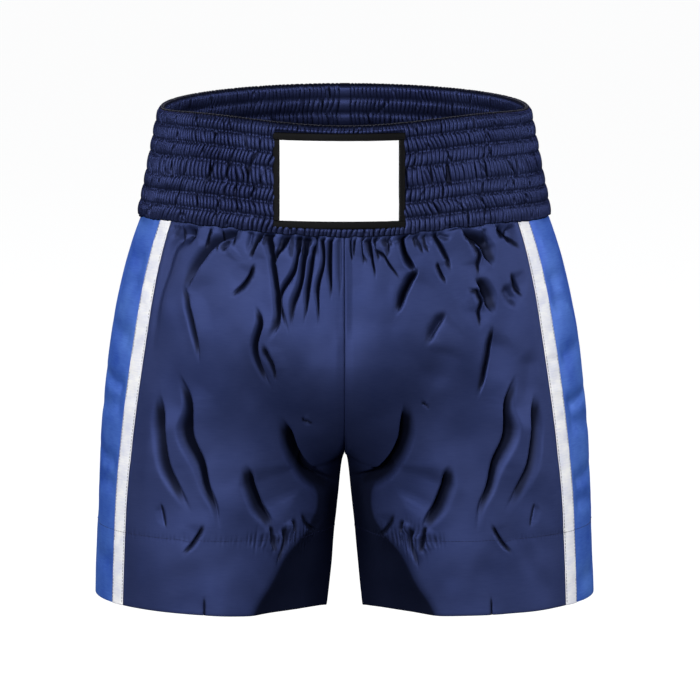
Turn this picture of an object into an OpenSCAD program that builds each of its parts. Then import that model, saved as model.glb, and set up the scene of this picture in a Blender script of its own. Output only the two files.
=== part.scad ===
// Boxing shorts. A ruched elastic waistband carries navy front and back panels, royal blue
// side panels, white tapes over the side seams and a bordered blank patch. Each leg swings
// forwards and backwards at the groin, where the leg tube laps inside the hip cloth.
// Frame: origin at the centre of the waist opening, +Z up, +X to the wearer's left, and the
// front faces -Y. All sizes are in millimetres.

/* [Waistband] */
// Height from the rim to the waist seam
waistband_h = 92; // [86:1:98]
// Half width of the waist opening at the rim
rim_half_w = 154; // [149:1:159]
// Half depth of the waist opening towards the front
rim_front = 104; // [100:1:108]
// Half depth of the waist opening towards the back
rim_back = 112; // [108:1:116]
// Number of elastic rows
rows = 7; // [6:1:8]
// Which row is the wide one, counted from the rim
wide_row = 4; // [1:1:6]
// Height of the wide row
wide_row_h = 16.5; // [13:0.5:18]
// Gap between one elastic and the next, where the shirring stitches run
row_gap = 3; // [2:0.5:5]
// How far each row of gathers bulges outwards
row_bulge = 1.2; // [0.6:0.1:1.8]

/* [Body and legs] */
// Half width at the waist seam
seam_half_w = 172; // [168:1:176]
// How much each side widens from the waist seam to the hem
flare = 42; // [36:1:46]
// Height from the rim down to the crotch
rise = 295; // [288:1:302]
// Height from the rim down to the hem, at the middle of a leg
total_h = 422; // [412:1:430]
// How much higher the hem is at the side than at the inseam
hem_tilt = 8; // [0:1:22]
// Depth of the turned-up hem
hem_depth = 66; // [40:1:68]
// Half depth of a leg towards the front
leg_front = 90; // [86:1:94]
// Half depth of a leg towards the back
leg_back = 94; // [90:1:98]
// Gap between the legs at the hem
hem_gap = 31; // [20:1:36]

/* [Front patch] */
// Width of the patch with its border
patch_w = 111; // [90:1:116]
// Height of the patch with its border
patch_h = 80; // [70:1:80]
// Width of the border at the sides
border_side = 4.7; // [3:0.1:8]
// Width of the border at the top and the bottom
border_end = 6.2; // [3:0.1:8]
// Drop from the rim to the top of the patch
patch_drop = 6; // [4:0.1:7]
// Distance of the patch from the centre line, towards the wearer's right
patch_shift = 4.3; // [0:0.1:6]

/* [Leg swing] */
// How far a leg swings forwards, in degrees
swing_forward = 35; // [10:1:35]
// How far a leg swings backwards, in degrees
swing_back = 20; // [10:1:20]

/* [Hidden] */
cloth = 1;            // thickness of a cloth panel
trim = 0.5;           // thickness of a tape or of the patch
thread = 0.4;         // thickness of a stitching line
air = 0.1;            // clearance between two layers that lie on each other
hem_air = 0.5;        // clearance between a panel and its own turned-up hem
seam_air = 0.5;       // clearance between the waistband and the panels below it
hip_air = 0.1;        // clearance between the hip cloth and the centre plane
leg_air = 0.3;        // clearance between the leg cloth and the centre plane
ring_steps = 40;      // facets round the waistband
row_h = (waistband_h - wide_row_h) / (rows - 1);
cover_inner = 0.9;    // half the room between the two faces of the waistband cover
cover_outer = 1.5;    // half the thickness of the cover at a row of stitches
rim_flat = 0.7;       // half the width of the flat along the top of the rim
rim_round = 1;        // height over which the rim narrows to that flat
rim_cloth = 1.3;      // thickness of the cover at the top of the rim
elastic_half = 0.6;   // half the thickness of an elastic

// Shares of the way round one leg, from the centre front seam to the centre back seam.
tape_in = 0.375;
tape_out = 0.4;
side_seam = (tape_in + tape_out) / 2;
seam_half = 0.0004;   // half the gap between two panels at a seam
stitch_edge = 0.0025; // from the edge of a tape in to its line of stitches
stitch_half = 0.0004; // half the width of a line of stitches

flare_fall = 108;     // height over which most of the flare happens
front_lift = 5;       // how much the cloth rises beside the patch, where the gathers pull
back_lift = 1.6;      // how much the rim rises at the centre back
lift_end = 220;       // depth below the rim at which those rises have died out
hem_dip = 5.5;        // how much the hem hangs down beside the inseam
dip_reach = 50;       // distance from the centre over which that dip dies out
rise_curve_h = 95;    // height over which the rise seam turns under the crotch
seam_reach = 0.2;     // share of the way round that the rise seam's curve reaches
leg_start = 170;      // depth at which the hips begin to part into two legs
leg_full = 340;       // depth at which the legs are fully parted
crotch_gap = 2.6;     // half the gap between the legs just below the crotch
gap_fall = 4;         // height below the crotch over which that gap opens

// Half depths of the hips, as [height, half depth].
front_profile = [[-rise, 115], [-190, 119], [-waistband_h, 114], [0, rim_front]];
back_profile = [[-rise, 124], [-190, 132], [-waistband_h, 123], [0, rim_back]];
// Angles round the hip ellipse and the leg ellipse, as [share of the way round, angle], where
// 0 faces forwards. They set how wide the front, the side and the back of the shorts are.
hip_turn = [[0, 0], [tape_in, 57.8], [tape_out, 64], [0.5, 90], [1 - tape_out, 116],
    [1 - tape_in, 122.2], [1, 180]];
leg_turn = [[0, -90], [tape_in, 48.7], [tape_out, 57.4], [0.5, 90], [1 - tape_out, 122.6],
    [1 - tape_in, 131.3], [1, 270]];

hinge_z = -rise + 7;                   // height of the leg hinges, close above the crotch
fold_front = swing_forward / 2 + 2.5;  // slope of the lap line towards the front
fold_back = swing_back / 2 + 4;        // slope of the lap line towards the back
lap_side = 8;         // how far a leg reaches up inside the hip cloth, at its outer side
lap_centre = -1;      // the same at the centre seams, where it stops short instead
inset = 4.0;          // how far the lapped part of a leg lies inside the hip cloth
inset_h = 30;         // height below the lap line that is still inset in full
inset_fade = 35;      // height over which the inset dies out

hip_rows = 8;         // facets down the hip cloth
leg_rows = 6;         // facets down the leg cloth above the hem
hem_rows = 3;         // facets down the hem
hem_top = -total_h + hem_depth;
stitch_drop = 1.5;    // from the top of the hem down to its line of stitches

patch_inner = cover_outer + row_bulge + 3 * air;
patch_top = -patch_drop;
patch_bottom = -patch_drop - patch_h;

// ---- Shape of the cloth ----

function mix(a, b, t) = a + (b - a) * t;
function clamp01(v) = max(0, min(1, v));
function smooth(v) = let (c = clamp01(v)) c * c * (3 - 2 * c);
function unit(v) = v / norm(v);

function half_w(z) = z >= -waistband_h
    ? mix(rim_half_w, seam_half_w, -z / waistband_h)
    : seam_half_w + flare * (1 - exp((z + waistband_h) / flare_fall));
function hip_front(z) = lookup(z, front_profile);
function hip_back(z) = lookup(z, back_profile);
function inseam_x(z) = z >= -rise ? 0
    : crotch_gap * (1 - exp((z + rise) / gap_fall))
        + (hem_gap / 2 - crotch_gap) * (-rise - z) / (total_h - rise);
function hip_angle(s) = lookup(s, hip_turn);
function leg_angle(s) = lookup(s, leg_turn);

function ellipse_point(cx, rx, front, back, a) =
    [cx + rx * sin(a), -(cos(a) > 0 ? front : back) * cos(a)];
function hip_point(s, z) = ellipse_point(0, half_w(z), hip_front(z), hip_back(z), hip_angle(s));
function leg_point(s, z) = let (w = half_w(z), x = inseam_x(z))
    ellipse_point((w + x) / 2, (w - x) / 2, leg_front, leg_back, leg_angle(s));

// Share of the leg's shape: along the rise seam it follows that seam's curve under the
// crotch, and away from the seam it changes slowly.
function rise_share(z) = let (h = clamp01((z + rise) / rise_curve_h)) 1 - sqrt(h * (2 - h));
function leg_share(z) = 1 - smooth((z + leg_full) / (leg_full - leg_start));
function shape_share(s, z) = mix(rise_share(z), leg_share(z),
    smooth(min(s, 1 - s) / seam_reach));

function lift(a, z) = smooth((z + lift_end) / (lift_end - waistband_h))
    * (cos(a) > 0 ? front_lift * pow(sin(2 * a), 2) : back_lift * pow(cos(a), 2));
function hem_rise(x, z) = smooth((-rise - z) / (total_h - rise))
    * (hem_tilt * (x / half_w(z) - 0.5) - hem_dip * exp(-pow(x / dip_reach, 2)));

// Middle layer of the left half: s runs round it and z is the height down the cloth.
function cloth_middle(s, z) =
    let (xy = mix(hip_point(s, z), leg_point(s, z), shape_share(s, z)))
    [xy[0], xy[1], z + lift(hip_angle(s), z) + hem_rise(xy[0], z)];
function cloth_normal(s, z) = unit(cross(
    cloth_middle(min(1, s + 0.004), z) - cloth_middle(max(0, s - 0.004), z),
    cloth_middle(s, z + 0.5) - cloth_middle(s, z - 0.5)));
function on_cloth(s, z, d, min_x) =
    let (p = cloth_middle(s, z) + d * cloth_normal(s, z)) [max(min_x, p[0]), p[1], p[2]];

// Middle layer of the waistband, all the way round.
function waist(a, z) =
    let (xy = ellipse_point(0, half_w(z), hip_front(z), hip_back(z), a))
    [xy[0], xy[1], z + lift(a, z)];
function on_waist(a, z, d) = waist(a, z) + d * unit(cross(
    waist(a + 0.5, z) - waist(a - 0.5, z), waist(a, z + 0.5) - waist(a, z - 0.5)));

// Height at which the cloth crosses the lap line between hip and leg, found by halving.
function above_lap(s, z) = let (p = cloth_middle(s, z))
    p[2] - hinge_z - abs(p[1]) * tan(p[1] < 0 ? fold_front : fold_back);
function lap_z(s, low = -total_h + 20, high = -waistband_h, left = 16) =
    left == 0 ? (low + high) / 2
    : let (middle = (low + high) / 2)
        above_lap(s, middle) > 0 ? lap_z(s, low, middle, left - 1)
        : lap_z(s, middle, high, left - 1);
function leg_inset(s, z) = inset * smooth((z - lap_z(s) + inset_h + inset_fade) / inset_fade);

// ---- Building blocks ----

function steps(from, to, count) = [for (i = [0:count]) mix(from, to, i / count)];

// A closed sheet. It has one column of points for each value in across and rows + 1 points
// down each column: place(value, row, side) gives a point, side 1 outside and 0 inside.
module sheet(across, rows, place) {
    last = len(across) - 1;
    function at(i, j, side) = (side * (last + 1) + i) * (rows + 1) + j;
    function quad(a, b, c, d) = [[c, b, a], [d, c, a]];
    points = [for (side = [0, 1], value = across, j = [0:rows]) place(value, j, side)];
    faces = concat(
        [for (i = [0:last - 1], j = [0:rows - 1]) each
            quad(at(i, j, 1), at(i, j + 1, 1), at(i + 1, j + 1, 1), at(i + 1, j, 1))],
        [for (i = [0:last - 1], j = [0:rows - 1]) each
            quad(at(i, j, 0), at(i + 1, j, 0), at(i + 1, j + 1, 0), at(i, j + 1, 0))],
        [for (i = [0:last - 1]) each
            quad(at(i, 0, 0), at(i, 0, 1), at(i + 1, 0, 1), at(i + 1, 0, 0))],
        [for (i = [0:last - 1]) each
            quad(at(i, rows, 0), at(i + 1, rows, 0), at(i + 1, rows, 1), at(i, rows, 1))],
        [for (j = [0:rows - 1]) each
            quad(at(0, j, 0), at(0, j + 1, 0), at(0, j + 1, 1), at(0, j, 1))],
        [for (j = [0:rows - 1]) each
            quad(at(last, j, 0), at(last, j, 1), at(last, j + 1, 1), at(last, j + 1, 0))]);
    polyhedron(points, faces);
}

// A closed profile of [distance, height] points, swept once round the waist.
module waist_ring(profile) {
    n = len(profile);
    points = [for (i = [0:ring_steps - 1], p = profile)
        on_waist(360 * i / ring_steps, p[1], p[0])];
    faces = [for (i = [0:ring_steps - 1], j = [0:n - 1])
        let (k = (i + 1) % ring_steps, m = (j + 1) % n)
        each [[k * n + m, k * n + j, i * n + j], [i * n + m, k * n + m, i * n + j]]];
    polyhedron(points, faces);
}

// Part of the hip cloth, from the waist seam down to the lap line. inner and outer are its
// distances from the cloth's middle layer.
module hip_cloth(shares, inner, outer) {
    sheet(shares, hip_rows, function(s, j, side) on_cloth(s,
        mix(-waistband_h - seam_air, lap_z(s), j / hip_rows), side == 1 ? outer : inner,
        hip_air));
}

// Part of the leg cloth, from inside the lap down to the hem.
function leg_row_z(s, j) = j <= leg_rows
    ? mix(lap_z(s) + mix(lap_centre, lap_side, 1 - abs(2 * s - 1)), hem_top, j / leg_rows)
    : mix(hem_top, -total_h, (j - leg_rows) / hem_rows);
function on_leg(s, z, d) = on_cloth(s, z, d - leg_inset(s, z), leg_air);
module leg_cloth(shares, inner, outer) {
    sheet(shares, leg_rows + hem_rows, function(s, j, side)
        on_leg(s, leg_row_z(s, j), side == 1 ? outer : inner));
}

// A leg panel, whose cloth goes down to the hem, turns, and goes up again on the inside.
module leg_panel(shares) {
    turn = leg_rows + hem_rows;
    sheet(shares, turn + 1 + hem_rows, function(s, j, side)
        let (up = j > turn, z = leg_row_z(s, up ? 2 * turn + 1 - j : j),
            at_fold = side == 0 && (j == turn || j == turn + 1))
        on_leg(s, at_fold ? z + cloth : z,
            up ? -cloth - hem_air - side * cloth : (side - 1) * cloth));
}

// Part of the patch, between two distances across it and two heights.
module patch_part(x0, x1, z0, z1, count, inner, outer) {
    sheet(steps(x0, x1, count), 1, function(x, j, side)
        let (z = j == 0 ? z1 : z0)
        on_waist(asin((x - patch_shift) / half_w(z)), z, side == 1 ? outer : inner));
}

// The columns of points of each panel and tape. A panel has one along the edge of each tape
// that lies on it, so the two layers have the same facets.
front_steps = concat([seam_half], steps(tape_in / 7, tape_in, 6));
side_steps = steps(tape_out, 1 - tape_out, 4);
back_steps = concat(steps(1 - tape_in, 1 - tape_in / 7, 6), [1 - seam_half]);
front_shares = concat(front_steps, [side_seam - seam_half]);
side_shares = concat([side_seam + seam_half], side_steps, [1 - side_seam - seam_half]);
back_shares = concat([1 - side_seam + seam_half], back_steps);
front_tape_shares = [tape_in, side_seam, tape_out];
back_tape_shares = [1 - tape_out, 1 - side_seam, 1 - tape_in];
leg_shares = concat(front_steps, [side_seam], side_steps, [1 - side_seam], back_steps);

// ---- The pieces ----

function row_top(i) = -(i - 1) * row_h - (i > wide_row ? wide_row_h - row_h : 0);
function scallops() = [for (i = [rows:-1:1], half = [0, 1])
    [cover_outer + half * row_bulge, mix(row_top(i + 1), row_top(i), half / 2)]];

module waistband_cover() {
    color("midnightblue") waist_ring(concat(
        scallops(),
        [[cover_outer, -rim_round], [rim_flat, 0], [-rim_flat, 0],
         [-cover_outer, -rim_round], [-cover_outer, -waistband_h],
         [-cover_inner, -waistband_h], [-cover_inner, -rim_cloth],
         [cover_inner, -rim_cloth], [cover_inner, -waistband_h]]));
}

module elastic_row(i) {
    high = row_top(i) - row_gap / 2;
    low = row_top(i + 1) + row_gap / 2;
    color("white") waist_ring([[elastic_half, low], [elastic_half, high],
        [-elastic_half, high], [-elastic_half, low]]);
}

module thread_ring(z, d) {
    waist_ring([[d, z - thread / 2], [d + thread, z], [d, z + thread / 2]]);
}

module waistband_stitching() {
    color("navy") for (i = [2:rows]) thread_ring(row_top(i), cover_outer + air);
}

module waist_seam_stitching() {
    color("navy") thread_ring(-waistband_h + 2 * thread, cover_outer + 4 * air);
}

module patch_field() {
    color("white") patch_part(-patch_w / 2 + border_side, patch_w / 2 - border_side,
        patch_bottom + border_end, patch_top - border_end, 8, patch_inner,
        patch_inner + trim);
}

module patch_border() {
    color("black") {
        for (z = [patch_bottom, patch_top - border_end])
            patch_part(-patch_w / 2, patch_w / 2, z + air, z + border_end - air, 8,
                patch_inner, patch_inner + 2 * trim);
        for (x = [-patch_w / 2, patch_w / 2 - border_side])
            patch_part(x + air, x + border_side - air, patch_bottom + border_end,
                patch_top - border_end, 1, patch_inner, patch_inner + 2 * trim);
    }
}

module patch_stitching() {
    d = patch_inner + 2 * trim + air;
    half = patch_w / 2 - border_side / 2;
    color("black") {
        for (z = [patch_bottom + border_end / 2, patch_top - border_end / 2])
            patch_part(-half, half, z - thread / 2, z + thread / 2, 8, d, d + thread);
        for (x = [-half, half])
            patch_part(x - thread / 2, x + thread / 2, patch_bottom + border_end,
                patch_top - border_end, 1, d, d + thread);
    }
}

module front_panel_hip() { color("midnightblue") hip_cloth(front_shares, -cloth, 0); }
module front_panel_leg() { color("midnightblue") leg_panel(front_shares); }
module side_panel_hip() { color("royalblue") hip_cloth(side_shares, -cloth, 0); }
module side_panel_leg() { color("royalblue") leg_panel(side_shares); }
module back_panel_hip() { color("midnightblue") hip_cloth(back_shares, -cloth, 0); }
module back_panel_leg() { color("midnightblue") leg_panel(back_shares); }

module front_tape_hip() { color("white") hip_cloth(front_tape_shares, air, air + trim); }
module front_tape_leg() { color("white") leg_cloth(front_tape_shares, air, air + trim); }
module back_tape_hip() { color("white") hip_cloth(back_tape_shares, air, air + trim); }
module back_tape_leg() { color("white") leg_cloth(back_tape_shares, air, air + trim); }

// One line of stitches along each edge of each tape.
tape_threads = [for (s = [tape_in + stitch_edge, tape_out - stitch_edge]) each [s, 1 - s]];
thread_low = 2 * air + trim;
module tape_stitching_hip() {
    color("silver") for (s = tape_threads)
        hip_cloth([s - stitch_half, s + stitch_half], thread_low, thread_low + thread);
}
module tape_stitching_leg() {
    color("silver") for (s = tape_threads)
        leg_cloth([s - stitch_half, s + stitch_half], thread_low, thread_low + thread);
}

// One line of stitches round the leg, at the top of the turned-up hem.
module hem_stitching() {
    low = trim + 4 * air + thread;
    color("navy") sheet(leg_shares, 1, function(s, j, side)
        on_leg(s, hem_top - stitch_drop - j * thread, low + side * thread));
}

module on_side(side) {
    if (side == "left") children();
    else mirror([1, 0, 0]) children();
}

waistband_cover();
waistband_stitching();
patch_field();
patch_border();
patch_stitching();
waist_seam_stitching();
for (i = [1:rows])
    elastic_row(i);
for (side = ["left", "right"]) {
    on_side(side) front_panel_hip();
    on_side(side) front_panel_leg();
    on_side(side) side_panel_hip();
    on_side(side) side_panel_leg();
    on_side(side) back_panel_hip();
    on_side(side) back_panel_leg();
    on_side(side) front_tape_hip();
    on_side(side) front_tape_leg();
    on_side(side) back_tape_hip();
    on_side(side) back_tape_leg();
    on_side(side) tape_stitching_hip();
    on_side(side) tape_stitching_leg();
    on_side(side) hem_stitching();
}
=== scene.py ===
"""Boxing shorts: everything that shows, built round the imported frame.

+Z is up, the front faces -Y and +X is the wearer's left. Shapes are worked out in millimetres
and become metres when a mesh is made. The cloth of one leg is laid out by two numbers: s, the
share of the way round it from the centre front seam (0) to the centre back seam (1), and z, the
height down the cloth. The other leg is its mirror image, with folds of its own.
"""
import math

import bpy
import numpy as np
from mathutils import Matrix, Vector


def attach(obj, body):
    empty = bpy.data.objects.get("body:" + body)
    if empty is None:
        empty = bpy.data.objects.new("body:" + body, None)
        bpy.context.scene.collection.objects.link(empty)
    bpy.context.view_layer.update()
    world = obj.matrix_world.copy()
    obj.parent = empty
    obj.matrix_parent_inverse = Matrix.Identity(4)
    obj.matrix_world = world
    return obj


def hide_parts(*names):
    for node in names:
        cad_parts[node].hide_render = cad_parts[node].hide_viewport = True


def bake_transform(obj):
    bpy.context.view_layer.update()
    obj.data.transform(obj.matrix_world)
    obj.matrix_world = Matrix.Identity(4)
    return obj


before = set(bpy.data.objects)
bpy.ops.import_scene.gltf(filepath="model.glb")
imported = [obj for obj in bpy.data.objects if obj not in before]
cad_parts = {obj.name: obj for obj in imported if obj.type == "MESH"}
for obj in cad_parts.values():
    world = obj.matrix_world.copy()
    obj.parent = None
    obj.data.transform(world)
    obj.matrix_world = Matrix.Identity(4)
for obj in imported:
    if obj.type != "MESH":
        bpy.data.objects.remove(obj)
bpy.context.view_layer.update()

MM = 0.001
HIPS = "waist_and_hips"
SIDES = {"left": 1, "right": -1}


# ---- Driving dimensions, in millimetres ----

WAISTBAND_H = 92
WIDE_ROW, WIDE_ROW_H = 4, 16.5
ROWS = 7
RIM_HALF_W, SEAM_HALF_W = 154, 172
FLARE, FLARE_FALL = 42, 108
RISE = 295
TOTAL_H = 422
HEM_TILT = 8
HEM_DIP, DIP_REACH = 5.5, 50
HEM_DEPTH = 66
HEM_GAP = 31
CROTCH_GAP = 2.6
LEG_FRONT, LEG_BACK = 90, 94
FRONT_LIFT, BACK_LIFT, LIFT_END = 5, 1.6, 220
RISE_CURVE_H = 95
SEAM_REACH = 0.2
LEG_START, LEG_FULL = 170, 340
TAPE_IN, TAPE_OUT = 0.375, 0.4
SIDE_SEAM = (TAPE_IN + TAPE_OUT) / 2
STITCH_Z = -TOTAL_H + HEM_DEPTH - 1.5

CLOTH = 0.45            # thickness of the satin
SEAM_CLEAR = 0.23       # from the centre plane to the cloth of each leg
ROUND = 600             # about the distance round a leg
COVER_STITCHED = 2.3    # from the waist's middle layer out to the cover, at a row of stitches
COVER_BULGE = 1.7       # how much further out a row of gathers stands
COVER_INNER = 2.2       # from the middle layer in to the cover's inner face
COVER_CLEAR = 0.95      # the cover comes no nearer than this to the middle layer outside
INNER_CLEAR = 1.5       # and no nearer than this inside


# ---- Small mathematics ----

def smooth(v):
    v = np.clip(v, 0, 1)
    return v * v * (3 - 2 * v)


def mix(a, b, t):
    return a + (b - a) * t


def ramp(x, points):
    """Straight lines between (x, value) points."""
    xs, values = zip(*points)
    return np.interp(x, xs, values)


def soft_ramp(x, points, reach=14):
    """The same with its corners rounded off."""
    return sum(ramp(x + reach * k, points) for k in (-1, -0.5, 0, 0.5, 1)) / 5


LATTICE = 97            # whole numbers after which the noise repeats


def lattice_noise(u, v, seed):
    """Smooth noise from -1 to 1 with one random value at each whole number."""
    values = np.random.default_rng(seed).uniform(-1, 1, (LATTICE, LATTICE))
    iu, iv = np.floor(u).astype(int), np.floor(v).astype(int)
    fu, fv = smooth(u - iu), smooth(v - iv)

    def at(i, j):
        return values[i % LATTICE, j % LATTICE]

    low = mix(at(iu, iv), at(iu + 1, iv), fu)
    high = mix(at(iu, iv + 1), at(iu + 1, iv + 1), fu)
    return mix(low, high, fv)


def normals(grid, wrap):
    """Outward normals of a grid of points: columns go to the wearer's left, rows go down."""
    if wrap:
        across = np.roll(grid, -1, 0) - np.roll(grid, 1, 0)
    else:
        across = np.gradient(grid, axis=0)
    n = np.cross(np.gradient(grid, axis=1), across)
    return n / np.maximum(np.linalg.norm(n, axis=-1, keepdims=True), 1e-9)


# ---- Shape of the cloth, the same as the frame's ----

HIP_FRONT = [(-RISE, 115), (-190, 119), (-WAISTBAND_H, 114), (0, 104)]
HIP_BACK = [(-RISE, 124), (-190, 132), (-WAISTBAND_H, 123), (0, 112)]
HIP_TURN = [(0, 0), (TAPE_IN, 57.8), (TAPE_OUT, 64), (0.5, 90), (1 - TAPE_OUT, 116),
            (1 - TAPE_IN, 122.2), (1, 180)]
LEG_TURN = [(0, -90), (TAPE_IN, 48.7), (TAPE_OUT, 57.4), (0.5, 90), (1 - TAPE_OUT, 122.6),
            (1 - TAPE_IN, 131.3), (1, 270)]


def half_w(z):
    above = mix(RIM_HALF_W, SEAM_HALF_W, -z / WAISTBAND_H)
    below = SEAM_HALF_W + FLARE * (1 - np.exp(np.minimum(z + WAISTBAND_H, 0) / FLARE_FALL))
    return np.where(z >= -WAISTBAND_H, above, below)


def ellipse(cx, rx, front, back, degrees):
    a = np.radians(degrees)
    depth = np.where(np.cos(a) > 0, front, back)
    return cx + rx * np.sin(a), -depth * np.cos(a)


def lift(degrees, z):
    a = np.radians(degrees)
    fade = smooth((z + LIFT_END) / (LIFT_END - WAISTBAND_H))
    return fade * np.where(np.cos(a) > 0, FRONT_LIFT * np.sin(2 * a) ** 2,
                           BACK_LIFT * np.cos(a) ** 2)


def leg_share(s, z):
    """Share of the leg's shape, 0 at the hips and 1 where there are two whole legs."""
    h = np.clip((z + RISE) / RISE_CURVE_H, 0, 1)
    at_rise_seam = 1 - np.sqrt(h * (2 - h))
    elsewhere = 1 - smooth((z + LEG_FULL) / (LEG_FULL - LEG_START))
    return mix(at_rise_seam, elsewhere, smooth(np.minimum(s, 1 - s) / SEAM_REACH))


def base_cloth(s, z):
    """Middle layer of the left half, with no folds in it."""
    w = half_w(z)
    hip_degrees = ramp(s, HIP_TURN)
    hx, hy = ellipse(0, w, soft_ramp(z, HIP_FRONT), soft_ramp(z, HIP_BACK), hip_degrees)
    inseam = inseam_x(z)
    lx, ly = ellipse((w + inseam) / 2, (w - inseam) / 2, LEG_FRONT, LEG_BACK,
                     ramp(s, LEG_TURN))
    share = leg_share(s, z)
    x, y = mix(hx, lx, share), mix(hy, ly, share)
    tilt = HEM_TILT * (x / w - 0.5) - HEM_DIP * np.exp(-(x / DIP_REACH) ** 2)
    tilt = tilt * smooth((-RISE - z) / (TOTAL_H - RISE))
    return np.stack([x, y, z + lift(hip_degrees, z) + tilt], -1)


def inseam_x(z):
    below = np.maximum(-RISE - z, 0)
    rounded = CROTCH_GAP * (1 - np.exp(-below / 4))
    return rounded + (HEM_GAP / 2 - CROTCH_GAP) * below / (TOTAL_H - RISE)


def base_normal(s, z):
    across = base_cloth(np.minimum(s + 0.004, 1), z) - base_cloth(np.maximum(s - 0.004, 0), z)
    down = base_cloth(s, z - 0.5) - base_cloth(s, z + 0.5)
    n = np.cross(down, across)
    return n / np.linalg.norm(n, axis=-1, keepdims=True)


def waist(degrees, z):
    """Middle layer of the waistband, all the way round from the centre front."""
    x, y = ellipse(0, half_w(z), soft_ramp(z, HIP_FRONT), soft_ramp(z, HIP_BACK), degrees)
    return np.stack([x, y, z + lift(degrees, z)], -1)


def waist_normal(degrees, z):
    n = np.cross(waist(degrees, z - 0.5) - waist(degrees, z + 0.5),
                 waist(degrees + 0.5, z) - waist(degrees - 0.5, z))
    return n / np.linalg.norm(n, axis=-1, keepdims=True)


# ---- Folds ----
# Each fold is (path, width, steepness). Its path is seen from the front or the back as (x, z),
# and from the side as (y, z), in millimetres, and goes downwards. The cloth to the left of the
# path turns in, ever more steeply, to a crease, and the cloth to the right of it lies over the
# crease as a flap. A negative width is the other way round. Steepness is the fold's depth as a
# share of its width, and a fold with little of it is only a soft hollow. A fold ends in points.

WALL, CREASE, FLAP, OVERHANG = 2.0, 0.85, 0.8, 0.2    # all as shares of a fold's width
SLACK = 3.5             # over how many widths a flap's cloth comes back to its place
ROUNDED = 1.45          # how rounded the turned-in cloth is, where 1 would be a straight slope
SOFT, SHARP = 0.7, 1.5  # up to the first a fold is a soft hollow, from the second all crease
BEGINS, ENDS = 0.3, 0.45    # the shares of its length over which a fold grows and dies away
THIN = 0.35             # how wide a fold still is at its ends, as a share of its width
WELT = 0.04             # how high the cloth stands beside a fold, as a share of its depth
REACH = 6               # how many widths away from its path a fold ends


def through(path, pieces=5):
    """A smooth curve through the points of a path."""
    p = np.array([path[0], *path, path[-1]], float)
    t = np.linspace(0, 1, pieces, endpoint=False)[:, None]
    curve = []
    for a, b, c, d in zip(p, p[1:], p[2:], p[3:]):
        curve.append(0.5 * (2 * b + (c - a) * t + (2 * a - 5 * b + 4 * c - d) * t ** 2
                            + (3 * b - a - 3 * c + d) * t ** 3))
    return np.vstack([*curve, p[-1:]])


def fold_place(u, v, curve):
    """Distance of each point to the right of a curve, the share of the curve's length there,
    and the direction that is to its right there."""
    steps = np.linalg.norm(np.diff(curve, axis=0), axis=1)
    start = np.concatenate([[0], np.cumsum(steps)])
    best, share = np.full(u.shape, 1e9), np.zeros(u.shape)
    for a, b, length, begun in zip(curve, curve[1:], steps, start):
        du, dv = (b - a) / length
        along = np.clip((u - a[0]) * du + (v - a[1]) * dv, 0, length)
        away = np.hypot(u - a[0] - along * du, v - a[1] - along * dv)
        right = np.where(du * (v - a[1]) - dv * (u - a[0]) >= 0, 1, -1)
        nearer = away < np.abs(best)
        best = np.where(nearer, away * right, best)
        share = np.where(nearer, (begun + along) / start[-1], share)
    way = np.gradient(curve, axis=0)
    way /= np.linalg.norm(way, axis=1, keepdims=True)
    rights = [np.interp(share, start / start[-1], k) for k in (-way[:, 1], way[:, 0])]
    return best, share, np.stack(rights, -1)


def press(u, v, folds, from_top=False):
    """How far a list of folds moves the cloth at (u, v): inwards, along u and along v. The fourth
    number, from 0 to 1, is how much painted shade the cloth gets deep in a fold, in its crease
    and under its flap. from_top is for folds that begin at their full depth."""
    total = np.zeros(u.shape + (4,))
    for path, width, steepness in folds:
        curve = through(path)
        size, hand = abs(width), math.copysign(1, width)
        low, high = curve.min(0) - REACH * size, curve.max(0) + REACH * size
        near = (u > low[0]) & (u < high[0]) & (v > low[1]) & (v < high[1])
        if not near.any():
            continue
        away, share, right = fold_place(u[near], v[near], curve)
        strength = smooth((1 - share) / ENDS)
        if not from_top:
            strength = strength * smooth(share / BEGINS)
        hard = float(smooth((steepness - SOFT) / (SHARP - SOFT)))
        flap = mix(WALL, FLAP, hard)
        taper = size * mix(THIN, 1, strength)
        q = hand * away / taper - mix(0, CREASE, hard)
        wall = np.clip(1 + q / WALL, 0, 1) ** mix(2, ROUNDED, hard)
        over = smooth(q / flap)
        depth = steepness * taper * strength
        back = smooth((flap + SLACK - q) / SLACK)
        slide = hard * strength * taper * (flap + OVERHANG) * over * back
        valley = mix(np.exp(-(q / 1.3) ** 2), np.where(q < 0, wall, 1 - over), hard)
        total[near, 0] += depth * (valley - WELT * np.exp(-(q + WALL) ** 2))
        total[near, 1:3] -= hand * slide[:, None] * right
        # Painted shade: the crease of a hard fold and the cloth under its flap are darkened in
        # colour.
        painted_shade_mask = np.where(q < 0, smooth(2.6 * wall), smooth(1 - 1.3 * over))
        painted_shade_mask *= hard * smooth(2 * strength)
        total[near, 3] = np.maximum(total[near, 3], painted_shade_mask)
    return total


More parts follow.
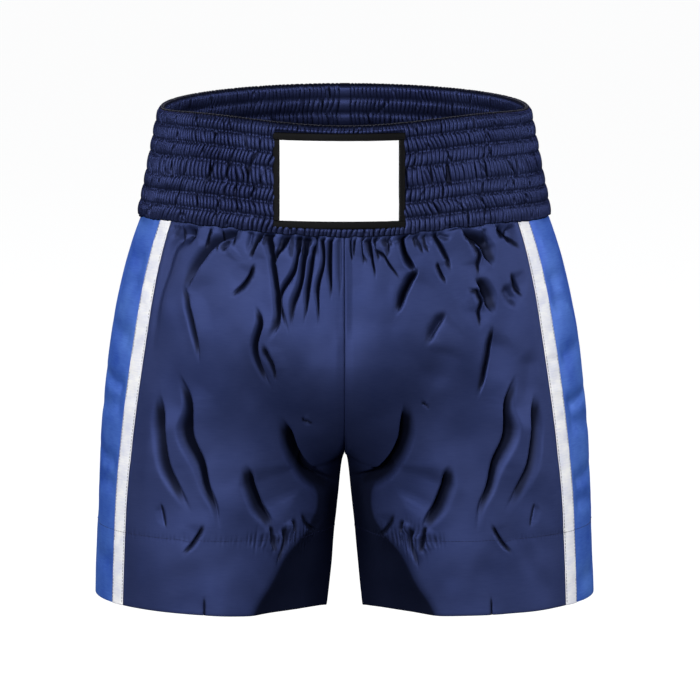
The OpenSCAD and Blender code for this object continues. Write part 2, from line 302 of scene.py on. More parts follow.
# The folds that hang from the waist seam at the front, seen from the front.
FROM_SEAM = [
    ([(-96, -93), (-109, -101), (-119, -113), (-130, -130), (-137, -150)], 4.5, 1.25),
    ([(-132, -97), (-145, -108), (-152, -128), (-160, -154), (-165, -212)], 5, 0.9),
    ([(-71, -93), (-81, -114)], 3, 1.5),
    ([(-63, -93), (-59, -122), (-56, -146), (-57, -168), (-64, -186)], 4.2, 2.4),
    ([(-47, -93), (-53, -108), (-57, -120)], 2.5, 2.1),
    ([(-38, -93), (-41, -120), (-50, -145), (-47, -178)], 2.4, 2.8),
    ([(-31, -93), (-35, -128), (-42, -152), (-46, -176)], 2.3, 2.8),
    ([(-24, -93), (-27, -120), (-31, -145), (-35, -170)], 2.2, 2.7),
    ([(-18, -93), (-17, -114), (-22, -138), (-22, -172)], 2, 2.6),
    ([(-11, -93), (-12, -148)], 2.2, 2.5),
    ([(-4, -93), (-4, -148)], 1.6, 2.4),
    ([(5, -93), (6, -116)], 1.7, 2.1),
    ([(15, -93), (17, -116)], 1.7, 2.4),
    ([(21, -93), (26, -130)], 2, 2.6),
    ([(25, -93), (38, -117), (49, -132)], 2, 2),
    ([(48, -93), (51, -108), (59, -126)], 5, 2.5),
    ([(75, -93), (86, -114), (91, -126)], 2.8, 2.1),
    ([(97, -93), (109, -113), (112, -134)], 3.2, 2.3),
    ([(105, -93), (119, -103), (127, -124)], -5.5, 2),
    ([(130, -93), (150, -113)], 3, 1.5),
]
LOOSE_UPPER = [
    ([(-137, -138), (-131, -160), (-126, -182), (-123, -206)], 3.6, 2.2),
    ([(-95, -101), (-103, -111)], 3, 1.2),
    ([(-74, -116), (-83, -134), (-97, -148)], -3.2, 2.1),
    ([(-77, -152), (-71, -167), (-75, -187), (-70, -209), (-61, -225)], 4.4, 2.3),
    ([(-66, -184), (-60, -202), (-58, -220)], 2.6, 2),
    ([(61, -118), (52, -136), (40, -160)], 5.5, 2.3),
    ([(76, -115), (85, -136)], 3, 1.4),
    ([(102, -139), (111, -154), (113, -176)], 3, 2.4),
    ([(110, -129), (121, -143), (128, -164)], -5.5, 1.7),
    ([(139, -130), (151, -152)], 2.6, 2.4),
    ([(133, -139), (146, -161)], 3.4, 1),
    ([(85, -156), (76, -170), (66, -188)], 5, 1.15),
    ([(88, -178), (68, -236)], 9, 0.25),
    ([(124, -170), (120, -198), (110, -236)], 4.4, 1.8),
    ([(160, -190), (152, -256)], 6, 0.3),
    ([(-56, -250), (-48, -270), (-38, -293), (-20, -317), (2, -335)], 9, 2.2),
    ([(54, -234), (53, -256), (46, -281), (31, -304), (12, -320), (-6, -332)], -9, 2.2),
    ([(-37, -250), (-31, -254), (-25, -253)], 1.6, 1.7),
    ([(64, -236), (72, -243)], 1.6, 1.7),
]
# The folds of the lower legs, seen from the front, for the wearer's left leg.
LOOSE_LOWER = [
    ([(142, -214), (132, -240), (130, -268), (121, -290), (117, -312), (110, -330),
      (107, -352)], -6, 2.3),
    ([(158, -232), (153, -285), (144, -312), (130, -336)], -7, 1.7),
    ([(117, -343), (129, -362), (138, -372)], 3, 1.5),
    ([(155, -326), (150, -350)], 1.6, 1.4),
    ([(86, -292), (73, -329), (60, -354)], -8, 1.5),
    ([(118, -404), (119, -442)], 1.6, 1.4),
    ([(52, -346), (50, -360), (57, -384)], 3.2, 1.6),
    ([(62, -344), (60, -372)], 2.6, 1.4),
    ([(43, -342), (41, -356)], 2.4, 1.5),
    ([(24, -362), (34, -346), (38, -336)], 2.6, 1.7),
]
# The edge beyond which the cloth of the inner thigh turns away, for the wearer's left leg.
THIGH_EDGE = [(40, -284), (28, -310), (24, -330), (27, -346), (33, -356), (49, -374),
              (62, -398), (73, -415), (82, -436)]

BACK_FROM_SEAM = [
    ([(6, -93), (8, -150)], 2.4, 2.4),
    ([(17, -93), (15, -125), (20, -160)], 2.6, 2.3),
    ([(28, -93), (31, -122)], 2.2, 2.1),
    ([(41, -93), (38, -130), (46, -176)], 4.4, 2.1),
    ([(56, -93), (60, -122)], 2.6, 1.9),
    ([(70, -93), (78, -122), (76, -164)], 4.2, 2.1),
    ([(90, -93), (97, -124)], 3, 2),
    ([(108, -93), (118, -124), (130, -164)], 4.6, 2),
    ([(134, -93), (148, -125)], 3.4, 1.5),
]
BACK_LOOSE = [
    ([(25, -140), (40, -165), (52, -196), (56, -236)], 5, 1.8),
    ([(98, -150), (90, -176), (92, -204), (84, -236)], 4, 1.9),
    ([(140, -170), (130, -206), (134, -238)], 3.4, 1.9),
    ([(58, -246), (54, -272), (40, -294), (20, -312), (4, -320)], -8, 1.9),
    ([(128, -228), (120, -262), (116, -296), (104, -326)], -6, 2.1),
    ([(152, -250), (146, -292), (132, -330)], -5, 1.7),
    ([(88, -300), (76, -330), (64, -352)], -6, 1.5),
    ([(104, -344), (112, -366)], 2.4, 1.4),
    ([(148, -372), (145, -398)], 2, 1.3),
    ([(70, -404), (74, -438)], 1.8, 1.3),
]
# Seen from the side, so the first number of each point is towards the back.
SIDE_FOLDS = [
    ([(-80, -126), (-40, -134), (-5, -128)], 7, 0.3),
    ([(-80, -160), (-45, -152), (-12, -164)], 6, 0.36),
    ([(-80, -190), (-40, -198), (10, -188)], 7, 0.36),
    ([(-85, -232), (-40, -240), (15, -230)], 5.5, 0.66),
    ([(-80, -262), (-40, -256), (20, -268)], 7, 0.36),
    ([(-80, -296), (-40, -306), (15, -296)], 6, 0.42),
    ([(-80, -330), (-35, -324), (10, -334)], 6, 0.36),
    ([(-80, -384), (-35, -392), (10, -384)], 7, 0.24),
    ([(20, -110), (24, -160), (34, -206)], 5, 0.54),
    ([(-12, -108), (-6, -150), (-14, -196)], 6, 0.36),
    ([(80, -214), (40, -226), (5, -216)], 6, 0.42),
    ([(80, -286), (45, -276), (5, -290)], 6, 0.42),
    ([(0, -330), (-8, -372), (-4, -414)], 7, 0.24),
]


def gathers(seed, count, limit):
    """Short pleats under the waist seam, where the cloth is taken in."""
    random = np.random.default_rng(seed)
    top = -WAISTBAND_H - 1
    pleats = []
    for x in np.sort(random.uniform(0, limit, count)):
        near_middle = 1 - x / limit
        drop = random.uniform(7, 16) + 16 * near_middle * random.random()
        lean = random.normal(0, 2) + 5 * x / limit
        pleats.append(([(x, top), (x + lean, top - drop)], random.uniform(1.1, 1.9),
                       random.uniform(0.7, 1.7)))
    return pleats


PUCKER_PITCH = 3.3


def hem_pucker(along, z, seed):
    """Puckers that the line of hem stitches pulls into the cloth, most of all towards the
    inseam. along is the distance round the leg from the centre front."""
    away = z - STITCH_Z
    drawn = smooth((along - 50) / 14) * smooth((128 - along) / 14)
    drawn = np.maximum(drawn, 0.25 * smooth(lattice_noise(along / 22, away * 0, seed) + 0.4))
    phase = along / PUCKER_PITCH * 2 * np.pi + 3.2 * lattice_noise(along / 6, away / 30, seed + 1)
    reach = 2.5 + 4.5 * drawn * (1 + lattice_noise(along / PUCKER_PITCH, away * 0, seed + 2))
    spread = np.exp(-(away / reach) ** 2)
    return 1.7 * drawn * np.exp(2.2 * (np.cos(phase) - 1)) * spread


def turn_thigh(p, s, z):
    """Beyond its edge the inner thigh's cloth runs straight back to the inseam. The result, up to
    0.85, is how much painted shade that turned-away cloth gets."""
    x, y = p[..., 0], p[..., 1]
    curve = through(THIGH_EDGE)
    inseam, w = inseam_x(z), half_w(z)
    edge = np.interp(-p[..., 2], -curve[:, 1], curve[:, 0])
    middle, reach = (w + inseam) / 2, (w - inseam) / 2
    depth = LEG_FRONT * np.sqrt(np.maximum(1 - ((edge - middle) / reach) ** 2, 0))
    straight = -depth * (x - inseam) / np.maximum(edge - inseam, 1)
    rounding = 2.2 * smooth((x - inseam) / 25) + 0.02
    high = np.maximum(y, straight)
    joined = high + rounding * np.log1p(np.exp(-np.abs(y - straight) / rounding))
    share = smooth((-290 - z) / 30) * (s < TAPE_IN)
    p[..., 1] = mix(y, joined, share)
    return 0.85 * share * smooth((edge - x) / 3 + 0.4)


def fold_shift(s, z, p, side, seed):
    """How far the folds move the cloth at points p of one leg, inwards and in x, y and z, and how
    much painted shade it gets deep in a fold."""
    x, y, height = p[..., 0], p[..., 1], p[..., 2]
    front = smooth((TAPE_IN - 0.003 - s) / 0.03)
    back = smooth((s - 1 + TAPE_IN - 0.003) / 0.03)
    flank = smooth((s - TAPE_OUT - 0.002) / 0.02) * smooth((1 - TAPE_OUT - 0.002 - s) / 0.02)
    below_seam = smooth((-WAISTBAND_H - 0.5 - z) / 5)[..., None]
    shift = np.zeros(s.shape + (5,))

    def add(share, moved, along):
        for number, place in enumerate((0, along, 3, 4)):
            shift[..., place] += share * moved[..., number]

    if front.any():
        facing = front * smooth((-y - 4) / 40)
        # The upper folds are listed for both legs at once, by the shorts' own x.
        drawn = press(side * x, height, FROM_SEAM, from_top=True) * below_seam
        drawn += press(side * x, height, LOOSE_UPPER)
        drawn[..., 1] *= side
        own = press(x, height, gathers(11 + side, 34, 150), from_top=True) * below_seam
        add(facing, drawn + own + press(x - 3 - 3 * side, height, LOOSE_LOWER), 1)
    if back.any():
        facing = back * smooth((y - 4) / 40)
        wander = 6 * side
        own = press(x + wander, height, BACK_FROM_SEAM, from_top=True)
        own += press(x, height, gathers(31 + side, 40, 150), from_top=True)
        loose = press(x * (1 + 0.05 * side) - wander, height + 1.5 * wander, BACK_LOOSE)
        add(facing, own * below_seam + loose, 1)
    if flank.any():
        add(flank, press(y, height + 8 * side, SIDE_FOLDS), 2)
    away_from_tape = np.maximum(np.maximum(front, back), 0.35 * flank)
    ripple = 1.4 * lattice_noise(x / 34, (y + height) / 46, seed)
    ripple += 0.45 * lattice_noise(x / 13 + 5, (y + height) / 19, seed + 1)
    shift[..., 0] += away_from_tape * below_seam[..., 0] * ripple
    return shift * smooth(np.minimum(s, 1 - s) * ROUND / 9)[..., None]


WEAR_SEED, HEM_SEED = 5, 60     # each leg adds or takes one, so that the two differ


def laid_cloth(s, z, side, out):
    """Points of one leg's cloth, with its folds, hem and seams, out from the middle layer, and
    how much painted shade each of them gets, from 0 to 1, deep in a fold, in a hem pucker or on
    the turned-away inner thigh."""
    p, n = base_cloth(s, z), base_normal(s, z)
    shift = fold_shift(s, z, p, side, WEAR_SEED + side)
    pucker_in = hem_pucker(s * ROUND, z, HEM_SEED + side)
    depth = shift[..., 0] + pucker_in
    away = turn_thigh(p, s, z)
    p = p + shift[..., 1:4] + n * (out - depth)[..., None]
    p[..., 0] = np.maximum(p[..., 0], SEAM_CLEAR)
    # Painted shade: fold creases, hem puckers and the turned-away inner thigh are darkened in
    # colour.
    painted_shade_mask = np.clip(shift[..., 4] + 0.5 * pucker_in, 0, 1)
    return p * np.array([side, 1, 1]), np.maximum(painted_shade_mask, away)


def cloth(s, z, side, out):
    return laid_cloth(s, z, side, out)[0]


# ---- Meshes ----

def mesh_object(name, points, faces, uvs, material):
    """A smooth-shaded mesh from points in millimetres and an array of quads."""
    me = bpy.data.meshes.new(name)
    me.vertices.add(len(points))
    me.vertices.foreach_set("co", (points * MM).astype(np.float32).ravel())
    me.loops.add(faces.size)
    me.loops.foreach_set("vertex_index", faces.astype(np.int32).ravel())
    me.polygons.add(len(faces))
    me.polygons.foreach_set("loop_start", np.arange(0, faces.size, faces.shape[1], np.int32))
    me.update(calc_edges=True)
    layer = me.uv_layers.new(name="Cloth")
    layer.data.foreach_set("uv", uvs[faces.ravel()].astype(np.float32).ravel())
    me.polygons.foreach_set("use_smooth", np.ones(len(faces), bool))
    me.materials.append(material)
    me.validate()
    ob = bpy.data.objects.new(name, me)
    bpy.context.collection.objects.link(ob)
    return ob


def grid_faces(columns, rows, wrap, flip, start=0):
    """Quads over a grid of points that is stored column by column."""
    i = np.arange(columns if wrap else columns - 1)[:, None]
    j = np.arange(rows - 1)[None]
    k = (i + 1) % columns
    quads = np.stack([i * rows + j, i * rows + j + 1, k * rows + j + 1, k * rows + j], -1)
    quads = quads.reshape(-1, 4) + start
    return quads[:, ::-1] if flip else quads


def edge_faces(outer, inner, flip):
    """Quads between matching rims of the outer and the inner face."""
    quads = np.stack([outer[:-1], inner[:-1], inner[1:], outer[1:]], -1)
    return quads[:, ::-1] if flip else quads


def shell(name, grid, cloth_uv, material, thickness=CLOTH, wrap=False, flip=False,
          painted_shade_mask=None):
    """A closed sheet of cloth round a grid of points. flip is for a mirrored grid. The
    painted-shade mask, if given, is kept on its points for the material to darken them.
    """
    columns, rows = grid.shape[:2]
    n = normals(grid, wrap) * (-1 if flip else 1) * thickness / 2
    points = np.vstack([(grid + n).reshape(-1, 3), (grid - n).reshape(-1, 3)])
    half = columns * rows
    index = np.arange(half).reshape(columns, rows)
    faces = [grid_faces(columns, rows, wrap, flip),
             grid_faces(columns, rows, wrap, not flip, half)]
    ring = np.append(index[:, 0], index[0, 0]) if wrap else index[:, 0]
    faces.append(edge_faces(ring, ring + half, flip)[:, ::-1])
    ring = np.append(index[:, -1], index[0, -1]) if wrap else index[:, -1]
    faces.append(edge_faces(ring, ring + half, flip))
    if not wrap:
        faces.append(edge_faces(index[0], index[0] + half, flip))
        faces.append(edge_faces(index[-1], index[-1] + half, flip)[:, ::-1])
    uvs = np.vstack([cloth_uv.reshape(-1, 2)] * 2)
    ob = mesh_object(name, points, np.vstack(faces), uvs, material)
    if painted_shade_mask is not None:
        layer = ob.data.attributes.new("painted_shade_mask", "FLOAT", "POINT")
        layer.data.foreach_set("value", np.tile(painted_shade_mask.ravel(), 2).astype(np.float32))
    return ob


def stitches(name, lines, material, length=2.3, pitch=2.9, thick=0.42):
    """Short rounded stitches along lines of (points, normals), as one mesh."""
    sides, rings = 6, ((-0.5, 0.35), (-0.3, 1), (0.3, 1), (0.5, 0.35))
    turn = np.arange(sides) * 2 * np.pi / sides
    points, faces, count = [], [], 0
    for line, out in lines:
        reach = np.concatenate([[0], np.cumsum(np.linalg.norm(np.diff(line, axis=0), axis=1))])
        for middle in np.arange(pitch / 2, reach[-1], pitch):
            def at(d, values):
                return np.array([np.interp(middle + d, reach, values[:, k]) for k in range(3)])
            ahead = at(length / 2, line) - at(-length / 2, line)
            ahead /= np.linalg.norm(ahead)
            up = at(0, out)
            up -= ahead * (up @ ahead)
            up /= np.linalg.norm(up)
            aside = np.cross(ahead, up)
            for place, size in rings:
                centre = at(0, line) + ahead * place * length
                circle = np.cos(turn)[:, None] * aside + np.sin(turn)[:, None] * up * 0.8
                points.append(centre + circle * size * thick / 2)
            i, k = np.arange(sides), (np.arange(sides) + 1) % sides
            for r in range(len(rings) - 1):
                a, b = count + r * sides, count + (r + 1) * sides
                faces.append(np.stack([a + i, a + k, b + k, b + i], -1))
            # Two quads close each end.
            for a, order in ((count, 1), (count + (len(rings) - 1) * sides, -1)):
                for c in ((0, 3, 2, 1), (0, 5, 4, 3)):
                    faces.append(np.array([[a + q for q in c[::order]]]))
            count += sides * len(rings)
    points = np.vstack(points)
    return mesh_object(name, points, np.vstack(faces), points[:, [0, 2]] * MM, material)


# ---- Materials ----

def linear(red, green, blue):
    """A colour given as 0 to 255 on the screen, as the shader wants it."""
    def one(c):
        c /= 255
        return c / 12.92 if c <= 0.04045 else ((c + 0.055) / 1.055) ** 2.4
    return (one(red), one(green), one(blue), 1)


class Nodes:
    """A short way to add and link shader nodes."""

    def __init__(self, name):
        self.material = bpy.data.materials.new(name)
        self.material.use_nodes = True
        self.tree = self.material.node_tree
        self.shader = self.tree.nodes["Principled BSDF"]

    def add(self, kind, inputs=(), **settings):
        node = self.tree.nodes.new("ShaderNode" + kind)
        for key, value in settings.items():
            setattr(node, key, value)
        for key, value in dict(inputs).items():
            self.put(node.inputs[key], value)
        return node

    def set(self, **inputs):
        for key, value in inputs.items():
            self.put(self.shader.inputs[key.replace("_", " ")], value)

    def put(self, socket, value):
        if hasattr(value, "links"):
            self.tree.links.new(value, socket)
        else:
            socket.default_value = value


PAINTED_FOLD_SHADE = linear(14, 15, 22)        # painted shade colour for satin deep in a fold


def woven(name, colour, deep, roughness, metal=0.0, thread=0.32, relief=0.12, specular=0.5,
          drift=17, painted_shade=0.0, gloss=(1, 1, 1, 1)):
    """Satin or another weave: thread relief, and colour that drifts between two. metal tints the
    gloss with the thread's own colour, as dyed satin does. The painted-shade argument is how far
    the colour is mixed towards a painted shade colour where a point's attribute marks it as deep
    in a fold or turned away from the light. gloss is the colour of the shine at glancing angles."""
    nodes = Nodes(name)
    place = nodes.add("UVMap", uv_map="Cloth").outputs["UV"]
    body = nodes.add("TexCoord").outputs["Object"]
    cloud = nodes.add("TexNoise", {"Vector": body, "Scale": drift, "Detail": 3,
                                   "Roughness": 0.55}).outputs["Fac"]
    drawn = nodes.add("Mapping", {"Vector": place, "Scale": (90, 900, 1)}).outputs["Vector"]
    slubs = nodes.add("TexNoise", {"Vector": drawn, "Scale": 1, "Detail": 2}).outputs["Fac"]
    both = nodes.add("Math", {0: slubs, 1: 0.5, 2: cloud}, operation="MULTIPLY_ADD")
    shade = nodes.add("MapRange", {"Value": both.outputs["Value"], "From Min": 0.5,
                                   "From Max": 1.0})
    tint = nodes.add("Mix", {0: shade.outputs["Result"], 6: deep, 7: colour}, data_type="RGBA")
    rough = nodes.add("MapRange", {"Value": cloud, "To Min": roughness - 0.06,
                                   "To Max": roughness + 0.06})
    waves = [nodes.add("TexWave", {"Vector": place, "Scale": wide / (thread * MM * 2 * math.pi),
                                   "Distortion": 0.6, "Detail": 1},
                       wave_type="BANDS", bands_direction=direction).outputs["Fac"]
             for direction, wide in (("X", 1), ("Y", 0.6))]
    weave = nodes.add("Math", {0: waves[0], 1: waves[1]}, operation="MAXIMUM")
    bump = nodes.add("Bump", {"Height": weave.outputs["Value"], "Strength": relief,
                              "Distance": 0.0002})
    colour_out = tint.outputs[2]
    # Painted shade: the colour is darkened towards the painted fold shade as far as the point
    # attribute says.
    if painted_shade:
        painted_shade_mask = nodes.add("Attribute", attribute_name="painted_shade_mask").outputs["Fac"]
        amount = nodes.add("Math", {0: painted_shade_mask, 1: painted_shade}, operation="MULTIPLY")
        colour_out = nodes.add("Mix", {0: amount.outputs["Value"], 6: colour_out, 7: PAINTED_FOLD_SHADE},
                               data_type="RGBA").outputs[2]
    nodes.set(Base_Color=colour_out, Roughness=rough.outputs["Result"], Metallic=metal,
              Normal=bump.outputs["Normal"], Specular_IOR_Level=specular,
              Specular_Tint=gloss)
    return nodes.material


# The navy satins are painted darker deep in folds, in gathers and on the turned-away inner thigh.
# This is shade that the modelled folds are too shallow to cast.
NAVY = woven("navy_satin", linear(56, 67, 113), linear(46, 57, 102), metal=0.7, roughness=0.56,
             painted_shade=0.8, gloss=linear(160, 170, 210))
WAIST_NAVY = woven("waistband_satin", linear(47, 55, 92), linear(35, 41, 74), metal=0.8,
                   roughness=0.46, painted_shade=0.85, specular=0.3, gloss=linear(90, 96, 128))
ROYAL = woven("royal_satin", linear(84, 128, 216), linear(48, 88, 192), metal=0.3,
              roughness=0.46, specular=0.3, drift=24)
TAPE = woven("tape_satin", linear(255, 255, 255), linear(222, 225, 242), roughness=0.5,
             drift=70)
PATCH = woven("patch_satin", linear(255, 255, 255), linear(250, 250, 252), roughness=0.5)
BORDER = woven("border_satin", linear(8, 8, 9), linear(3, 3, 4), roughness=0.6, specular=0.1)
ELASTIC = woven("elastic", linear(232, 230, 222), linear(205, 202, 194), roughness=0.7,
                thread=0.9, relief=0.6)
NAVY_THREAD = woven("navy_thread", linear(30, 37, 74), linear(22, 27, 56), roughness=0.6,
                    specular=0.2)
TAPE_THREAD = woven("tape_thread", linear(50, 55, 82), linear(34, 38, 60), roughness=0.6,
                    specular=0.2)
BORDER_THREAD = woven("border_thread", linear(24, 24, 26), linear(12, 12, 13), roughness=0.5,
                      specular=0.2)


# ---- Body panels and tapes ----

def spaced(points):
    """Values with a step that changes along the way: points is (value, steps up to it)."""
    values = [np.array([points[0][0]])]
    for (a, _), (b, count) in zip(points, points[1:]):
        values.append(np.linspace(a, b, count + 1)[1:])
    return np.concatenate(values)


TUCK = -WAISTBAND_H + 3           # the panels reach up into the waistband's lower edge
TURN = 0.9                        # how far inside the cloth its turned-up hem lies
FRONT_SHARES = spaced([(0.0045, 0), (0.11, 100), (SIDE_SEAM - 0.0003, 190)])
BACK_SHARES = 1 - spaced([(0.0045, 0), (0.11, 80), (SIDE_SEAM - 0.0003, 160)])[::-1]
SIDE_SHARES = spaced([(SIDE_SEAM + 0.0003, 0), (1 - SIDE_SEAM - 0.0003, 64)])
# The cloth turns in at the centre seams: (share of the way round, distance in), to its edge.
SEAM_TURN = [(0.003, 0.04), (0.0018, 0.18), (0.001, 0.5), (0.0005, 1.0), (0.0003, 2.0),
             (0.0003, 4.0), (0.0003, 7.0)]


def panel_columns(kind):
    """(share of the way round, distance in) across a panel, with the part turned in."""
    if kind == "side_panel":
        return np.array([(s, 0) for s in SIDE_SHARES])
    if kind == "front_panel":
        return np.array(SEAM_TURN[::-1] + [(s, 0) for s in FRONT_SHARES])
    return np.array([(s, 0) for s in BACK_SHARES] + [(1 - s, d) for s, d in SEAM_TURN])


PANEL_LOOK = {"front_panel": NAVY, "side_panel": ROYAL, "back_panel": NAVY}


def panel_rows():
    """(height, distance in) down a panel, round its hem and up inside to the stitches."""
    down = spaced([(TUCK, 0), (-130, 38), (STITCH_Z + 12, 120), (STITCH_Z - 12, 24),
                   (-TOTAL_H + TURN / 2, 22)])
    rows = [(z, 0.0) for z in down]
    for degrees in (30, 60, 90, 120, 150):
        a = math.radians(degrees)
        rows.append((-TOTAL_H + TURN / 2 * (1 - math.sin(a)), TURN / 2 * (1 - math.cos(a))))
    up = np.linspace(-TOTAL_H + TURN / 2, -TOTAL_H + HEM_DEPTH, 16)
    return np.array(rows + [(z, TURN) for z in up])


def cloth_uv(s, z):
    return np.stack([s * ROUND * MM, z * MM], -1)


def hang(piece):
    """Bakes the piece's placement into its points."""
    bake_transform(piece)


def make_panel(kind, side):
    sign = SIDES[side]
    rows = panel_rows()
    columns = panel_columns(kind)
    s, z = np.meshgrid(columns[:, 0], rows[:, 0], indexing="ij")
    inward = rows[:, 1] + columns[:, 1:]
    # The panel's points and the painted shade they get in folds and on the inner thigh.
    grid, painted_shade_mask = laid_cloth(s, z, sign, -inward)
    # Above the crotch the seam allowances of the two halves lie against each other.
    allowance = (inward > TURN) & (grid[..., 2] > -RISE) & (np.minimum(s, 1 - s) < 0.001)
    grid[allowance, 0] = SEAM_CLEAR * sign
    length = np.concatenate([[0], np.cumsum(np.abs(np.diff(rows[:, 0])))])
    uv = cloth_uv(s, np.broadcast_to(length, s.shape))
    piece = shell(f"{kind}_{side}", grid, uv, PANEL_LOOK[kind], flip=sign < 0, painted_shade_mask=painted_shade_mask)
    hang(piece)
    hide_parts(f"{kind}_hip_{side}", f"{kind}_leg_{side}")


def make_tape(kind, side):
    """A satin tape with narrow folded edges, laid over a side seam."""
    sign = SIDES[side]
    inner, outer = (TAPE_IN, TAPE_OUT) if kind == "front_tape" else (1 - TAPE_OUT, 1 - TAPE_IN)
    s, z = np.meshgrid(np.linspace(inner, outer, 19),
                       np.linspace(TUCK, -TOTAL_H, 340), indexing="ij")
    across = (s - inner) / (outer - inner)
    crown = 0.35 * np.sin(np.pi * across) ** 0.5
    # The tape ripples in steps down its length, and less towards the hem.
    ladder = lattice_noise(z / 6.5, across * 1.2, 80 + sign)
    ladder *= mix(0.35, 0.75, smooth((z + 300) / 90))
    ladder += lattice_noise(z / 17, across * 0.8, 84 + sign) * 0.35
    grid = cloth(s, z, sign, 0.62 + crown + ladder * np.sin(np.pi * across) ** 0.5)
    piece = shell(f"{kind}_{side}", grid, cloth_uv(s, z), TAPE, thickness=0.4, flip=sign < 0)
    hang(piece)
    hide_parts(f"{kind}_hip_{side}", f"{kind}_leg_{side}")


def make_tape_stitching(side):
    sign = SIDES[side]
    lines = []
    z = np.linspace(-WAISTBAND_H - 2, -TOTAL_H + 1, 330)
    from_edge = 0.0016      # share of the way round
    for share in (TAPE_IN + from_edge, TAPE_OUT - from_edge):
        for s in (share, 1 - share):
            line = cloth(np.full_like(z, s), z, sign, 1.02)
            out = base_normal(np.full_like(z, s), z) * np.array([sign, 1, 1])
            lines.append((line, out))
    piece = stitches(f"tape_stitches_{side}", lines, TAPE_THREAD)
    hang(piece)
    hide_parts(f"tape_stitching_hip_{side}", f"tape_stitching_leg_{side}")


def make_hem_stitching(side):
    sign = SIDES[side]
    s = np.linspace(0.004, 0.996, 700)
    z = np.full_like(s, STITCH_Z)
    fade = 0.0015           # share of the way round in which the stitches step up

    def between(low, high):
        return smooth((s - low + fade) / fade) * smooth((high + fade - s) / fade)

    on_tape = between(TAPE_IN, TAPE_OUT) + between(1 - TAPE_OUT, 1 - TAPE_IN)
    line = cloth(s, z, sign, 0.35 + 0.95 * on_tape)
    out = base_normal(s, z) * np.array([sign, 1, 1])
    piece = stitches(f"hem_stitches_{side}", [(line, out)], NAVY_THREAD)
    hang(piece)
    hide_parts(f"hem_stitching_{side}")


# ---- Waistband ----

PLAIN_ROW_H = (WAISTBAND_H - WIDE_ROW_H) / (ROWS - 1)
ROW_TOPS = [-(i * PLAIN_ROW_H + (WIDE_ROW_H - PLAIN_ROW_H if i >= WIDE_ROW else 0))
            for i in range(ROWS + 1)]
WAIST_COLUMNS = 2700
PLEAT_LEAN = 0.23      # degrees round the waist
PUCKERS = [276, 258, 250, 214, 246, 256, 240]     # in each row, from the rim down
ROW_LEAN = [0.1, -0.8, 0.75, -0.9, 0.7, -0.75, 0.6]
PATCH_SHIFT, PATCH_DROP = 4.3, 6
PATCH_W, PATCH_H = 109.2, 80


def ring_noise(degrees, knots, seed):
    """Smooth noise from -1 to 1 that meets itself after a full turn."""
    values = np.random.default_rng(seed).uniform(-1, 1, knots)
    u = degrees / 360 * knots
    i = np.floor(u).astype(int)
    return mix(values[i % knots], values[(i + 1) % knots], smooth(u - i))


def pucker(degrees, row, t, face):
    """Depth of the gathers in one row, from 0 on a ridge to 1, and which way the cloth there
    leans over the nearest valley. t goes down the row."""
    seed = 200 + 10 * row + 100 * face
    lean = ROW_LEAN[row] + 0.7 * ring_noise(degrees, 52, seed)
    wiggle = 0.8 * ring_noise(degrees, 70, seed + 5) * np.sin(2 * np.pi * t + seed)
    wander = 1.7 * ring_noise(degrees, 170, seed + 1) + 4.5 * ring_noise(degrees, 36, seed + 2)
    phase = PUCKERS[row] * np.radians(degrees) + wander + lean * (t - 0.5) * 4.2 + wiggle
    strength = 0.85 + 0.3 * ring_noise(degrees - lean * (t - 0.5) * 0.9, 210, seed + 3)
    depth = strength * (1 - np.abs(np.sin(phase / 2)) ** 0.9)
    # Some deeper gathers among the others.
    random = np.random.default_rng(seed + 4)
    wide = row == WIDE_ROW - 1
    for start in np.arange(0, 360, 4.5 if wide else 7):
        middle = start + random.uniform(0, 7)
        size = random.uniform(0.3, 0.9) * (1.2 if wide else 0.9)
        slant = random.normal(0, 0.7) + 0.5 * ROW_LEAN[row]
        width = random.uniform(0.2, 0.55 if wide else 0.42)
        reach = smooth(1.6 - abs(t - random.uniform(0.25, 0.75)) * 1.8)
        away = (degrees - middle + slant * (t - 0.5) * 2.2 + 180) % 360 - 180
        depth = depth + reach * size * np.exp(-(away / width) ** 2)
    from_back_seam = np.abs(degrees - 180)
    calm = smooth((from_back_seam - 0.8) / 1.2)
    return np.minimum(depth, 1) * calm, np.sin(phase) * strength * calm


def beside_patch(degrees, z):
    """0 under the patch, which holds the gathers flat, and 1 away from it."""
    x = half_w(z) * np.sin(np.radians(degrees)) + PATCH_SHIFT
    outside = smooth((np.abs(x) - PATCH_W / 2 + 3) / 3)
    above = smooth((z + PATCH_DROP + 1.5) / 2)
    below = smooth((-PATCH_DROP - PATCH_H + 1.5 - z) / 2)
    return np.maximum(np.where(np.cos(np.radians(degrees)) > 0, outside, 1),
                      np.maximum(above, below))


DEGREES = np.arange(WAIST_COLUMNS) * 360 / WAIST_COLUMNS
# Where the fold over the rim begins, half its width, and its rise.
RIM_DEPTH, RIM_ROUND, RIM_RISE = 1.1, 1.9, 1.6


def add_ring(rings, z, out, deep, rise=0.0, lean=0.0):
    """One more ring of points round the waist, with the painted shade each of them gets from how
    deep in the gathers it is.
    """
    heights = np.full_like(DEGREES, z)
    at = DEGREES - lean * PLEAT_LEAN
    p = waist(at, heights) + waist_normal(at, heights) * out[:, None]
    p[:, 2] += rise
    # Painted shade grows with the depth in the gathers.
    rings.append((p, smooth((deep - 0.25) / 0.6)))


def add_inner_face(rings):
    back_band = 0.5 * smooth((1.9 - np.abs(DEGREES - 180)) / 0.35)
    for row in reversed(range(ROWS)):
        for t in np.linspace(1, 0, 7)[:-1]:
            ridge = COVER_INNER + 1.3 * math.sin(math.pi * t) ** 0.6
            depth, lean = pucker(DEGREES, row, t, 1)
            out = -mix(ridge, INNER_CLEAR, depth) - back_band
            # The gathers' depth also sets their painted shade.
            add_ring(rings, mix(ROW_TOPS[row], ROW_TOPS[row + 1], t), out, depth, lean=lean)


